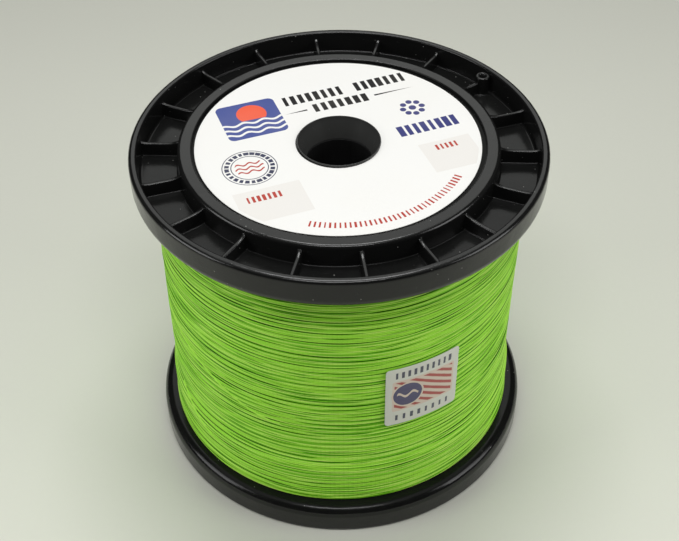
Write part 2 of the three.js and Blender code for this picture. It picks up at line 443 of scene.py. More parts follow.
def braided_line(graph):
    """Bright green polyethylene braid: satin carriers, with shade painted darker and deeper green into
    the braid's grooves and between the strands.
    """
    strand = graph.split(graph.add("ShaderNodeUVMap", {"uv_map": "strand"}).outputs[0])
    height = braid_height(graph, strand[0], strand[1])
    gap = graph.add("ShaderNodeAttribute", {"attribute_name": "gap"}).outputs["Fac"]
    tone = graph.add("ShaderNodeAttribute", {"attribute_name": "tone"}).outputs["Fac"]
    place = position_mm(graph)
    streak = graph.noise(graph.vector("MULTIPLY", place, (0.12, 0.12, 2.2)), 1.0, detail=4.0)
    fibre = graph.noise(graph.vector("MULTIPLY", place, (1.5, 1.5, 9.0)), 1.0, detail=3.0)
    shade = graph.math("MULTIPLY_ADD", streak, 0.5, graph.math("MULTIPLY_ADD", tone, 0.9, -0.2))
    colour = graph.mix(graph.between(shade, 0.0, 0.5), LINE_GREEN_DEEP, LINE_GREEN)
    colour = graph.mix(graph.between(shade, 0.5, 1.0), colour, LINE_GREEN_PALE)
    # Painted shade in the braid's grooves.
    groove = graph.between(height, 0.2, -0.8, 0.0, 0.16)
    colour = graph.mix(groove, colour, LINE_GREEN_SHADE)
    # Painted shade: the grooves and open gaps between strands turn a darker, deeper green.
    colour = graph.mix(graph.between(gap, 0.05, 0.45), colour, LINE_GREEN_SHADE)
    colour = graph.mix(graph.between(gap, 0.35, 0.95), colour, LINE_GREEN_GAP_SHADE)
    normal = graph.bump(height, 0.03, strength=0.7)
    return dict(
        Base_Color=colour,
        Roughness=graph.between(fibre, 0.3, 0.7, 0.45, 0.62),
        Specular_IOR_Level=graph.between(gap, 0.0, 0.6, 0.28, 0.02),
        Normal=graph.bump(fibre, 0.04, strength=0.5, normal=normal),
    )


class Drawing:
    """Flat print at the point (x, y), in millimetres: shapes painted one over another."""

    EDGE = 0.06

    def __init__(self, graph, x, y, ground):
        self.graph = graph
        self.x = x
        self.y = y
        self.colour = ground

    def turned(self, angle):
        """The point in axes turned anticlockwise by an angle."""
        cosine, sine = math.cos(angle), math.sin(angle)
        point = []
        for x_share, y_share in ((cosine, sine), (-sine, cosine)):
            from_x = self.graph.times(self.x, x_share)
            from_y = self.graph.times(self.y, y_share)
            point.append(self.graph.plus(from_x, from_y))
        return point

    def polar(self, centre):
        """Angle and distance about a centre."""
        graph = self.graph
        x = graph.minus(self.x, centre[0])
        y = graph.minus(self.y, centre[1])
        distance = graph.vector("LENGTH", graph.join(x, y))
        return graph.math("ARCTAN2", y, x), distance

    def inside(self, distance):
        return self.graph.between(distance, self.EDGE, -self.EDGE)

    def both(self, *masks):
        result = masks[0]
        for mask in masks[1:]:
            result = self.graph.times(result, mask)
        return result

    def band(self, value, middle, half):
        """1 where the value is within half of the middle."""
        graph = self.graph
        away = graph.apart(value, middle)
        return self.inside(graph.minus(away, half))

    def box(self, centre, half, rounding=0.0):
        graph = self.graph
        sides = []
        for value, middle, reach in zip((self.x, self.y), centre, half):
            away = graph.apart(value, middle)
            sides.append(graph.minus(away, reach - rounding))
        corner = [graph.math("MAXIMUM", side, 0.0) for side in sides]
        outside = graph.vector("LENGTH", graph.join(*corner))
        within = graph.math("MINIMUM", graph.math("MAXIMUM", *sides), 0.0)
        distance = graph.plus(outside, within)
        return self.inside(graph.minus(distance, rounding))

    def disc(self, centre, radius):
        return self.inside(self.graph.minus(self.polar(centre)[1], radius))

    def ring(self, centre, radius, width):
        return self.band(self.polar(centre)[1], radius, width / 2)

    def dashes(self, span, middle, height, pitch, seed, fill=1.0, axes=None):
        """A row of upright blocks of uneven width, which stands in for a line of print. It runs over
        the span of the first axis at the middle of the second one, X and Y unless axes says others."""
        graph = self.graph
        along, across = axes or (self.x, self.y)
        start, end = span
        place = graph.math("DIVIDE", graph.minus(along, start), pitch)
        cell = graph.math("FLOOR", place)
        share = graph.minus(place, cell)
        settings = {"noise_dimensions": "2D"}
        noise = graph.add("ShaderNodeTexWhiteNoise", settings, Vector=graph.join(cell, seed))
        spread, least = 0.2 * pitch * fill, 0.26 * pitch * fill
        half = graph.math("MULTIPLY_ADD", noise.outputs["Value"], spread, least)
        away = graph.apart(share, 0.5)
        away = graph.times(away, pitch)
        block = self.inside(graph.minus(away, half))
        ends = self.band(along, (start + end) / 2, (end - start) / 2)
        return self.both(block, ends, self.band(across, middle, height / 2))

    def taper(self, start, end, middle, thickness):
        """A line that swells from nothing at its start to its full thickness at its end."""
        graph = self.graph
        share = graph.math("DIVIDE", graph.minus(self.x, start), end - start)
        half = graph.times(share, thickness / 2)
        away = graph.apart(self.y, middle)
        ends = self.band(self.x, (start + end) / 2, abs(end - start) / 2)
        return self.both(self.inside(graph.minus(away, half)), ends)

    def waves(self, height, swing, length, thickness):
        """A wavy line along X."""
        graph = self.graph
        phase = graph.times(self.x, FULL_TURN / length)
        middle = graph.math("MULTIPLY_ADD", graph.math("SINE", phase), swing, height)
        away = graph.apart(self.y, middle)
        return self.inside(graph.minus(away, thickness / 2))

    def paint(self, mask, colour):
        self.colour = self.graph.mix(mask, self.colour, colour)


def draw_emblem(drawing):
    """A blue tile with a sun and three waves."""
    x, y = -26.5, 26.0
    half_width, half_height = 12.0, 11.5
    tile = drawing.box((x, y), (half_width, half_height), rounding=2.5)
    drawing.paint(tile, INK_BLUE)
    drawing.paint(drawing.disc((x + 1.0, y + 3.4), 6.0), INK_ORANGE)
    sea = drawing.box((x, y - 6.9), (half_width, 6.6))
    drawing.paint(drawing.both(tile, sea), INK_BLUE)
    for step in range(3):
        wave = drawing.waves(y - 1.9 - 3.2 * step, swing=0.7, length=8.0, thickness=1.2)
        drawing.paint(drawing.both(wave, tile), LABEL_WHITE)


def draw_title(drawing):
    """Two rows of dark blocks, the lower one between two tapering lines."""
    upper, lower = 32.4, 24.2
    marks = (
        drawing.dashes((-12.0, 14.0), upper, height=6.0, pitch=3.25, seed=1.0, fill=0.8),
        drawing.dashes((18.5, 41.0), upper, height=6.0, pitch=3.21, seed=2.0, fill=0.8),
        drawing.dashes((-2.0, 22.0), lower, height=5.4, pitch=3.43, seed=3.0, fill=0.8),
        drawing.taper(-13.0, -4.0, lower, thickness=0.9),
        drawing.taper(41.0, 24.5, lower, thickness=1.0),
    )
    for mark in marks:
        drawing.paint(mark, INK_DARK)


def draw_braid_sign(drawing):
    """A ring of eight dots, one for each carrier of the braid, over a row of blue blocks."""
    graph = drawing.graph
    centre = (35.4, 10.8)
    ring_radius, dot_radius, hub_radius = 4.0, 1.25, 1.5
    angle, distance = drawing.polar(centre)
    eighth = FULL_TURN / 8
    turns = graph.math("DIVIDE", angle, eighth)
    nearest = graph.times(graph.math("ROUND", turns), eighth)
    away = graph.minus(angle, nearest)
    along = graph.times(distance, graph.math("COSINE", away))
    across = graph.times(distance, graph.math("SINE", away))
    reach = graph.vector("LENGTH", graph.join(graph.minus(along, ring_radius), across))
    drawing.paint(drawing.inside(graph.minus(reach, dot_radius)), INK_NAVY)
    drawing.paint(drawing.disc(centre, hub_radius), INK_NAVY)
    blocks = drawing.dashes((23.6, 48.8), -2.6, height=6.6, pitch=3.15, seed=4.0, fill=0.9)
    drawing.paint(blocks, INK_NAVY)


def draw_stamp(drawing):
    """Two thin rings with ticks between them, round three red waves."""
    centre = (-36.3, -3.3)
    outer, inner = 10.3, 7.0
    for radius in (outer, inner):
        drawing.paint(drawing.ring(centre, radius, width=0.35), INK_SLATE)
    angle, distance = drawing.polar(centre)
    middle = (outer + inner) / 2
    axes = (drawing.graph.times(angle, middle), distance)
    half_turn = math.pi * middle
    span = (-half_turn, half_turn)
    ticks = drawing.dashes(span, middle, height=1.7, pitch=half_turn / 12, seed=5.0, axes=axes)
    drawing.paint(ticks, INK_SLATE)
    for step in (-1, 0, 1):
        wave = drawing.waves(centre[1] + 2.4 * step, swing=0.6, length=4.6, thickness=0.8)
        drawing.paint(drawing.both(wave, drawing.disc(centre, 5.6)), INK_RED)


def draw_fields(drawing):
    """Two pale fields for writing in, each with a short red heading."""
    sheet = drawing.disc((0.0, 0.0), LABEL_RADIUS - 1.3)
    left = drawing.box((-34.3, -25.7), (12.8, 9.0))
    right = drawing.box((38.0, -22.0), (10.5, 9.0))
    for field in (left, right):
        drawing.paint(drawing.both(field, sheet), FIELD_GREY)
    heading = drawing.dashes((-43.5, -29.5), -21.8, height=3.4, pitch=2.0, seed=6.0, fill=0.7)
    drawing.paint(heading, INK_RED)
    heading = drawing.dashes((33.0, 42.5), -16.8, height=3.2, pitch=1.9, seed=7.0, fill=0.7)
    drawing.paint(heading, INK_RED)


def draw_edge_line(drawing):
    """A row of fine red blocks that follows the label's near edge."""
    angle, distance = drawing.polar((0.0, 0.0))
    middle = 49.2
    axes = (drawing.graph.times(angle, middle), distance)
    span = [math.radians(degrees) * middle for degrees in (-123, -45)]
    dashes = drawing.dashes(span, middle, height=3.0, pitch=1.8, seed=8.0, fill=0.55, axes=axes)
    drawing.paint(dashes, INK_RED)


def label_paper(graph):
    """Smooth white label stock with a generic print: no name and no words."""
    place = position_mm(graph)
    x, y, _ = graph.split(place)
    x = graph.minus(x, LABEL_CENTRE_X)
    drawing = Drawing(graph, x, y, LABEL_WHITE)
    drawing.x, drawing.y = drawing.turned(LABEL_TURN)
    for draw in (draw_emblem, draw_title, draw_braid_sign, draw_stamp, draw_fields, draw_edge_line):
        draw(drawing)
    fibre = graph.noise(place, 3.0, detail=4.0)
    cloud = graph.noise(place, 0.05)
    aged = graph.mix(graph.between(cloud, 0.4, 0.7, 0.0, 0.04), drawing.colour, LABEL_AGED)
    return dict(
        Base_Color=aged,
        Roughness=graph.between(fibre, 0.3, 0.7, 0.42, 0.52),
        Specular_IOR_Level=0.15,
        Normal=graph.bump(fibre, 0.01),
    )


def draw_sticker(drawing):
    """Slanted red bars and a blue roundel with a wave, between two dark rows."""
    graph = drawing.graph
    centre, roundel = (0.3, 0.4), (-6.6, 0.4)
    drawing.paint(drawing.box(centre, (13.2, 8.4), rounding=1.0), PANEL_CREAM)
    slant = graph.math("MULTIPLY_ADD", drawing.x, 0.6, drawing.y)
    share = graph.math("FRACT", graph.math("DIVIDE", slant, 3.4))
    bars = drawing.both(drawing.band(share, 0.5, 0.24), drawing.box(centre, (12.4, 7.6), rounding=0.6))
    drawing.paint(bars, STICKER_RED)
    drawing.paint(drawing.disc(roundel, 6.6), PANEL_CREAM)
    drawing.paint(drawing.disc(roundel, 5.9), STICKER_BLUE)
    wave = drawing.waves(roundel[1], swing=1.0, length=5.9, thickness=1.3)
    drawing.paint(drawing.both(wave, drawing.disc(roundel, 4.4)), PANEL_CREAM)
    upper = drawing.dashes((-12.5, 12.5), 11.8, height=3.4, pitch=2.5, seed=1.0, fill=0.6)
    drawing.paint(upper, INK_SLATE)
    lower = drawing.dashes((-12.5, 12.5), -11.8, height=3.0, pitch=3.12, seed=2.0, fill=0.45)
    drawing.paint(lower, INK_SLATE)


def foil_film(graph):
    """Brushed silver film with a generic print."""
    place = position_mm(graph)
    x, y, z = graph.split(place)
    angle = graph.minus(graph.math("ARCTAN2", y, x), STICKER_CENTRE_ANGLE)
    across = graph.times(angle, STICKER_RADIUS)
    upward = graph.minus(z, STICKER_CENTRE_HEIGHT)
    drawing = Drawing(graph, across, upward, FOIL_SILVER)
    draw_sticker(drawing)
    brushed = graph.noise(graph.vector("MULTIPLY", place, (0.3, 0.3, 6.0)), 1.0, detail=4.0)
    colour = graph.mix(graph.times(brushed, 0.2), drawing.colour, DUST_GREY)
    ripple = graph.noise(graph.vector("MULTIPLY", place, (0.05, 0.05, 0.7)), 1.0)
    return dict(
        Base_Color=colour,
        Metallic=0.15,
        Roughness=graph.between(brushed, 0.3, 0.7, 0.32, 0.42),
        Coat_Weight=0.3,
        Coat_Roughness=0.15,
        Normal=graph.bump(ripple, 0.12, normal=graph.bump(brushed, 0.006)),
    )


# Pieces


def rib_edge_depth(radius):
    """How deep a rib's free edge lies below the flange's outer face: it sags between its ends."""
    ring_share = max(0.0, 1 - (radius - RING_OUTER_RADIUS) / RIB_RING_RISE_LENGTH)
    rim_share = max(0.0, 1 - (FLANGE_RADIUS - RIM_WALL - radius) / RIB_RIM_RISE_LENGTH)
    ring_rise = (RIB_DEPTH - RIB_RING_END_DEPTH) * ring_share**2
    rim_rise = (RIB_DEPTH - RIB_RIM_END_DEPTH) * rim_share**2
    return RIB_DEPTH - ring_rise - rim_rise


def rib_half_section(steps=3):
    """Columns from a rib's middle to its foot: (sideways, below the free edge, above the floor).
    Each is measured from the free edge or from the floor, and the other value is None."""
    flat = RIB_HALF_THICKNESS - RIB_TOP_ROUNDING
    foot = RIB_HALF_THICKNESS + RIB_DRAFT
    columns = [(0.0, 0.0, None)]
    for step in range(steps + 1):
        angle = math.pi / 2 * step / steps
        drop = RIB_TOP_ROUNDING * (1 - math.cos(angle))
        columns.append((flat + RIB_TOP_ROUNDING * math.sin(angle), drop, None))
    support = 0.2
    columns.append((RIB_HALF_THICKNESS + 0.01, RIB_TOP_ROUNDING + support, None))
    columns.append((foot - 0.01, None, RIB_FOOT_ROUNDING + support))
    for step in range(steps + 1):
        angle = math.pi / 2 * step / steps
        sideways = foot + RIB_FOOT_ROUNDING * (1 - math.cos(angle))
        columns.append((sideways, None, RIB_FOOT_ROUNDING * (1 - math.sin(angle))))
    return columns


def flange_outline():
    """The flange's section, outer face at height 0 and line side above, anticlockwise."""
    spigot_outer = DRUM_RADIUS - DRUM_WALL - FIT_GAP
    spigot_inner = spigot_outer - SOCKET_WALL
    sleeve_inner = HUB_RADIUS + FIT_GAP
    sleeve_outer = sleeve_inner + SOCKET_WALL
    rim_inner = FLANGE_RADIUS - RIM_WALL
    lip_depth = RECESS_DEPTH - CONE_LIP_HEIGHT
    corners = [
        (BORE_RADIUS, TUBE_END_DEPTH - 0.3, 0.5),
        (CONE_MOUTH_RADIUS - 0.25, lip_depth, 0.12),
        (CONE_MOUTH_RADIUS + 0.1, lip_depth, 0.12),
        (CONE_MOUTH_RADIUS + 0.1, RECESS_DEPTH, 0.05),
        (RING_INNER_RADIUS, RECESS_DEPTH, 0.15),
        (RING_INNER_RADIUS, RING_TOP_DEPTH, 0.6),
        (RING_OUTER_RADIUS, RING_TOP_DEPTH, 1.5),
        (RING_OUTER_RADIUS + POCKET_DRAFT, POCKET_DEPTH, 0.5),
        (rim_inner - POCKET_DRAFT, POCKET_DEPTH, 0.9),
        (rim_inner, 0, 0.75),
        (FLANGE_RADIUS, 0, 2.0),
        (FLANGE_RADIUS, FLANGE_HEIGHT, 4.0),
        (DRUM_RADIUS + FIT_GAP, FLANGE_HEIGHT, 0.3),
        (DRUM_RADIUS + FIT_GAP, PLATE_UNDERSIDE, 0),
        (spigot_outer, PLATE_UNDERSIDE, 0),
        (spigot_outer, SPIGOT_TOP, 0.4),
        (spigot_inner, SPIGOT_TOP, 0.4),
        (spigot_inner, PLATE_UNDERSIDE, 0.6),
        (sleeve_outer + 1, PLATE_UNDERSIDE, 0.8),
        (sleeve_outer, SLEEVE_TOP, 0.4),
        (sleeve_inner, SLEEVE_TOP, 0.3),
        (sleeve_inner, TUBE_END_DEPTH, 0),
        (BORE_RADIUS, TUBE_END_DEPTH, 0),
    ]
    return rounded_outline(corners, steps=5, longest=2.2)


def in_pocket(radius, height):
    """True between the ring and the rim, on the outer face's side of the web."""
    rim_inner = FLANGE_RADIUS - RIM_WALL
    return RING_OUTER_RADIUS - 0.5 < radius < rim_inner + 0.3 and height < POCKET_DEPTH + 0.01


def flange_mesh():
    """One flange in its own frame, outer face at height 0, ribs raised from the pocket's floor. Every
    point of the outline is turned about the axis with extra columns across each rib."""
    half = rib_half_section()
    section = [(-side, edge, floor) for side, edge, floor in half[:0:-1]] + half
    pitch = FULL_TURN / RIB_COUNT
    foot = half[-1][0]
    outline = flange_outline()
    vertices = []
    for radius, height in outline:
        reach = min(max(radius, RING_OUTER_RADIUS - 0.5), FLANGE_RADIUS - 2)
        edge_depth = rib_edge_depth(radius)
        pocket = in_pocket(radius, height)
        for rib in range(RIB_COUNT):
            middle = RIB_FIRST_ANGLE + rib * pitch
            columns = []
            for side, below_edge, above_floor in section:
                if below_edge is not None:
                    depth = edge_depth + below_edge
                else:
                    depth = POCKET_DEPTH - above_floor
                columns.append((middle + side / reach, min(height, depth) if pocket else height))
            for step in range(1, POCKET_COLUMNS + 1):
                share = step / (POCKET_COLUMNS + 1)
                angle = middle + foot / reach + (pitch - 2 * foot / reach) * share
                columns.append((angle, height))
            for angle, level in columns:
                vertices.append((radius * math.cos(angle), radius * math.sin(angle), level))
    columns = len(vertices) // len(outline)
    faces = [face[::-1] for face in grid_faces(len(outline), columns)]
    return new_object("flange", vertices, faces)


def boss_and_hole():
    """The round post on one rib and the plug that cuts its hole, standing in the flange's frame."""
    foot = POCKET_DEPTH + 1
    flared = BOSS_RADIUS + BOSS_FILLET
    post = [
        (0.0, BOSS_TOP_DEPTH, 0),
        (BOSS_RADIUS, BOSS_TOP_DEPTH, 0.6),
        (BOSS_RADIUS + 0.15, POCKET_DEPTH - 0.5, 0),
        (flared, POCKET_DEPTH, 0),
        (flared, foot, 0),
        (0.0, foot, 0),
    ]
    chamfer = 0.4
    plug = [
        (0.0, -1.0, 0),
        (BOSS_HOLE_RADIUS + chamfer, -1.0, 0),
        (BOSS_HOLE_RADIUS + chamfer, BOSS_TOP_DEPTH, 0),
        (BOSS_HOLE_RADIUS, BOSS_TOP_DEPTH + chamfer, 0),
        (BOSS_HOLE_RADIUS, FLANGE_HEIGHT + 1, 0),
        (0.0, FLANGE_HEIGHT + 1, 0),
    ]
    made = []
    for name, corners in (("boss", post), ("hole", plug)):
        piece = turned(name, rounded_outline(corners), columns=40)
        bm = bmesh.new()
        bm.from_mesh(piece.data)
        bmesh.ops.remove_doubles(bm, verts=bm.verts, dist=0.0001 * MM)
        bmesh.ops.recalc_face_normals(bm, faces=bm.faces)
        bm.to_mesh(piece.data)
        bm.free()
        place = Vector((math.cos(BOSS_ANGLE), math.sin(BOSS_ANGLE), 0)) * BOSS_CENTRE_RADIUS * MM
        piece.data.transform(Matrix.Translation(place))
        made.append(piece)
    return made


def flanges():
    """The bottom flange, half a turn round so that its boss is at the back, and the top one, which is
    the same moulding turned over."""
    bottom = flange_mesh()
    boss, hole = boss_and_hole()
    combine(bottom, boss, "UNION")
    combine(bottom, hole, "DIFFERENCE")
    bottom.data.shade_smooth()
    bottom.data.set_sharp_from_angle(angle=math.radians(50))
    bottom.name = "bottom_flange_moulding"
    top = link("top_flange_moulding", bottom.data.copy())
    turn_over = Matrix.Translation((0, 0, SPOOL_HEIGHT * MM)) @ Matrix.Rotation(math.pi, 4, "X")
    top.data.transform(turn_over)
    bottom.data.transform(Matrix.Rotation(math.pi, 4, "Z"))
    return bottom, top


def plain_tube(name, inner, outer, low, high):
    corners = [(inner, low, 0.3), (outer, low, 0.3), (outer, high, 0.3), (inner, high, 0.3)]
    return turned(name, rounded_outline(corners, steps=3))


# The wound line

STRAND_WIDTH = 0.8
GROOVE_DEPTH = 0.26
# Share across a strand, and how far its surface lies below its crown there
STRAND_SECTION = (
    (0.0, GROOVE_DEPTH),
    (0.167, 0.10),
    (0.333, 0.02),
    (0.5, 0.0),
    (0.667, 0.02),
    (0.833, 0.10),
)
PACK_COLUMNS = 192
PACK_RADIUS = 72.15
PACK_LOW_RADIUS = 73.5
PACK_LOW_TOP = 29.0
PACK_STEP_TOP = 39.0
PACK_LEAN = 0.2
PACK_LEAN_TOP = 105.0
PACK_FLARE = 0.4
PACK_FLARE_HEIGHT = 9.0
PACK_TOP_DROP = 0.5
PACK_TOP_DROP_HEIGHT = 1.6
STREAK_REACH = 11.0
STREAK_ROWS = 4
DRIFT = 0.35
SHUFFLE = 0.09
UNEVENNESS = 0.06
GAP_SPREAD = 0.85
GAP_BIAS = -0.2
GAP_SINK = 1.3
TONE_MIDDLE = 0.6
TONE_SPREAD = 0.45
WINDING_SEED = 11


def eased(value, low, high):
    """0 up to the low value and 1 from the high one on, with a smooth rise between them."""
    share = np.clip((value - low) / (high - low), 0, 1)
    return share * share * (3 - 2 * share)


def pack_radius(angles, height):
    """The radius over the crowns of the outer turns: the lower turns stand proud and flare out on
    the flange, and all but the top ones lean a little to the left."""
    low_share = 1 - eased(height, PACK_LOW_TOP, PACK_STEP_TOP)
    radius = PACK_RADIUS + (PACK_LOW_RADIUS - PACK_RADIUS) * low_share
    lean_share = 1 - eased(height, PACK_LEAN_TOP - 30, PACK_LEAN_TOP)
    radius = radius - PACK_LEAN * np.cos(angles) * lean_share
    radius = radius + PACK_FLARE * (1 - eased(height - pack_low.z, 0, PACK_FLARE_HEIGHT))
    return radius - PACK_TOP_DROP * (1 - eased(pack_high.z - height, 0, PACK_TOP_DROP_HEIGHT))


def ripples(random, rows, angles, amplitude, turns, row_rate):
    """A smooth random field over rows and angles: a sum of waves that close round the spool."""
    count = 9
    field = np.zeros((rows, len(angles)))
    row = np.arange(rows)[:, None]
    for _ in range(count):
        waves = random.integers(turns[0], turns[1] + 1)
        rate = random.uniform(*row_rate) * random.choice((-1, 1))
        phase = random.uniform(0, FULL_TURN)
        field += np.sin(waves * angles[None, :] + rate * row + phase)
    return field * amplitude / math.sqrt(count)


def streaks(random, rows):
    """A random field of unit deviation whose streaks run round the spool. Going up, it holds next to
    nothing slower than one swing in STREAK_ROWS rows."""
    noise = np.fft.fft2(random.standard_normal((rows, PACK_COLUMNS)))
    rate = np.abs(np.fft.fftfreq(rows))[:, None] * STREAK_ROWS
    turn_rate = np.fft.fftfreq(PACK_COLUMNS, 1 / PACK_COLUMNS)[None, :]
    kept = rate**8 / (1 + rate**8) / (1 + (0.8 * rate) ** 2)
    kept = kept / (1 + (turn_rate * STREAK_REACH / PACK_RADIUS) ** 2)
    field = np.fft.ifft2(noise * kept).real
    return field / field.std()


def strand_edges(random, strands, angles):
    """The height of the groove below and above every strand. Inside the pack it drifts."""
    height = pack_high.z - pack_low.z
    edge = np.arange(strands + 1)[:, None]
    taper = np.sqrt(np.sin(math.pi * edge / strands))
    drift = ripples(random, strands + 1, angles, DRIFT, turns=(1, 5), row_rate=(0.01, 0.05))
    shuffle = SHUFFLE * streaks(random, strands + 1)
    return pack_low.z + height * edge / strands + taper * (drift + shuffle)


def winding():
    """Angles, and the radius, height, share of painted gap shade and tone of every row of the wound
    surface.
    """
    random = np.random.default_rng(WINDING_SEED)
    strands = round((pack_high.z - pack_low.z) / STRAND_WIDTH)
    angles = np.arange(PACK_COLUMNS) * FULL_TURN / PACK_COLUMNS
    edges = strand_edges(random, strands, angles)
    opening = np.clip(GAP_SPREAD * streaks(random, strands) + GAP_BIAS, 0, 2)
    opening[0] = 0
    proud = UNEVENNESS * streaks(random, strands)
    proud += ripples(random, strands, angles, UNEVENNESS, turns=(1, 4), row_rate=(0.02, 0.1))
    tone = np.clip(TONE_MIDDLE + TONE_SPREAD * streaks(random, strands), 0, 1)
    radii, heights, gap_shade_shares, tones = [], [], [], []
    for across, sink in STRAND_SECTION:
        level = edges[:-1] + across * np.diff(edges, axis=0)
        nearest = opening if across < 0.5 else np.roll(opening, -1, axis=0)
        depth = sink / GROOVE_DEPTH
        radii.append(pack_radius(angles, level) + proud - sink * (1 + GAP_SINK * nearest))
        heights.append(level)
        # Painted shade: some in every groove between strands, and more where the turns open apart.
        gap_shade_shares.append(np.clip(0.3 * depth + math.sqrt(depth) * nearest, 0, 1))
        tones.append(tone)
    fields = [np.stack(parts, axis=1) for parts in (radii, heights, gap_shade_shares, tones)]
    return angles, *(field.reshape(-1, PACK_COLUMNS) for field in fields)


def set_attribute(mesh, name, values):
    """Gives each vertex a number that a material can read by name."""
    attribute = mesh.attributes.new(name, "FLOAT", "POINT")
    attribute.data.foreach_set("value", np.asarray(values, np.float32).ravel())


def strand_uv(mesh, rows, columns):
    """A UV map of the distance along the strand and the share across it."""
    across = [share for share, _ in STRAND_SECTION] + [1.0]
    sections = len(STRAND_SECTION)
    length = round(FULL_TURN * PACK_RADIUS / BRAID_PITCH) * BRAID_PITCH
    row = (np.arange(rows)[:, None] - 1) % sections
    low = np.take(across, row) * np.ones((1, columns))
    high = np.take(across, row + 1) * np.ones((1, columns))
    start = np.arange(columns)[None, :] * length / columns * np.ones((rows, 1))
    end = start + length / columns
    corners = [(start, low), (end, low), (end, high), (start, high)]
    values = np.stack([np.stack(corner, axis=-1) for corner in corners], axis=2)
    layer = mesh.uv_layers.new(name="strand")
    layer.data.foreach_set("uv", values.astype(np.float32).ravel())


def line_half(name, angles, rows_of):
    """Some rows of the wound surface, closed towards the drum and at its ends."""
    radii, heights, gaps, tones = rows_of
    rows, columns = radii.shape
    inner = np.full((1, columns), DRUM_RADIUS + FIT_GAP)
    low = np.full((1, columns), heights[0].mean())
    high = np.full((1, columns), heights[-1].mean())
    radii = np.vstack([inner, radii, inner])
    heights = np.vstack([low, heights, high])
    vertices = around_axis(radii, angles, heights)
    made = new_object(name, vertices, grid_faces(rows + 2, columns), math.radians(80))
    pad = np.zeros((1, columns))
    # The gap attribute sets how much shade the material paints between strands.
    set_attribute(made.data, "gap", np.vstack([pad, gaps, pad]))
    set_attribute(made.data, "tone", np.vstack([pad, tones, pad]))
    strand_uv(made.data, rows + 2, columns)
    return made


def line_pack():
    """Both halves of the wound line, which meet in the groove between two strands."""
    angles, *fields = winding()
    sections = len(STRAND_SECTION)
    rows = len(fields[0])
    middle = rows // (2 * sections) * sections
    lower = line_half("line_turns_lower", angles, [field[: middle + 1] for field in fields])
    upper = line_half("line_turns_upper", angles, [field[middle:] for field in fields])
    return lower, upper


# Start angle and height, then end angle and height, of the turns that cross over the others
CROSSING_TURNS = (
    (-157, 71.5, -106, 54.0),
    (-159, 36.5, -134, 26.0),
    (18, 96.0, 74, 84.0),
    (98, 62.0, 151, 47.5),
)
CROSSING_RADIUS = 0.38
CROSSING_STEPS = 48
CROSSING_SIDES = 8


def crossing_turn(name, start_angle, start_height, end_angle, end_height):
    """One strand that slants across the others and dives between them at both ends."""
    share = np.linspace(0, 1, CROSSING_STEPS)
    angles = np.radians(start_angle + (end_angle - start_angle) * share)
    heights = start_height + (end_height - start_height) * eased(share, 0, 1)
    dive = 1.6 * (1 - eased(np.minimum(share, 1 - share), 0, 0.12))
    around = np.arange(CROSSING_SIDES) * FULL_TURN / CROSSING_SIDES
    middle = pack_radius(angles, heights) + 0.1 - dive
    radii = middle[:, None] + CROSSING_RADIUS * np.cos(around)
    levels = heights[:, None] + CROSSING_RADIUS * np.sin(around)
    vertices = around_axis(radii, angles[:, None], levels)
    faces = [face[::-1] for face in grid_faces(CROSSING_STEPS, CROSSING_SIDES, capped=True)]
    made = new_object(name, vertices, faces, math.radians(60))
    set_attribute(made.data, "gap", np.zeros(len(vertices)))
    set_attribute(made.data, "tone", np.full(len(vertices), 0.75))
    return made


def crossing_turns():
    return [crossing_turn(f"crossing_turn_{index}", *turn) for index, turn in enumerate(CROSSING_TURNS)]


# Label and sticker

LABEL_TURN = math.radians(20)
LABEL_HOLE_RADIUS = 16.3
STICKER_SIZE = 31.2
STICKER_CORNER = 1.6
STICKER_RADIUS = 72.65
STICKER_THICKNESS = 0.22
STICKER_CENTRE_ANGLE = math.radians(-64.7)
STICKER_CENTRE_HEIGHT = (sticker_low.z + sticker_high.z) / 2


def top_label():
    """The paper disc, which lies a little unevenly in its recess."""
    low, high = label_low.z, label_high.z
    corners = [
        (LABEL_HOLE_RADIUS, low, 0.05),
        (LABEL_RADIUS, low, 0.05),
        (LABEL_RADIUS, high, 0.08),
        (LABEL_HOLE_RADIUS, high, 0.08),
    ]
    piece = turned("label_disc", rounded_outline(corners, steps=2, support=0.05, longest=2.5))
    for vertex in piece.data.vertices:
        x, y, _ = vertex.co / MM
        edge = eased(math.hypot(x, y), 30, LABEL_RADIUS)
        swell = 0.05 * math.sin(0.13 * x + 1.0) * math.sin(0.11 * y)
        lift = 0.12 * edge * math.sin(3 * math.atan2(y, x) + 0.5) ** 2
        vertex.co.z += (swell + lift) * MM
        vertex.co.x += LABEL_CENTRE_X * MM
    return piece


def rounded_square(size, corner, steps=6, side_parts=8):
    """Points anticlockwise round a square with rounded corners."""
    inset = size / 2 - corner
    quarter = []
    for step in range(steps + 1):
        angle = math.pi / 2 * step / steps
        quarter.append((inset + corner * math.cos(angle), inset + corner * math.sin(angle)))
    for part in range(1, side_parts):
        quarter.append((inset - 2 * inset * part / side_parts, inset + corner))
    quarter = np.array(quarter)
    quarter_turn = np.array([(0, 1), (-1, 0)])
    return np.vstack([quarter @ np.linalg.matrix_power(quarter_turn, side) for side in range(4)])


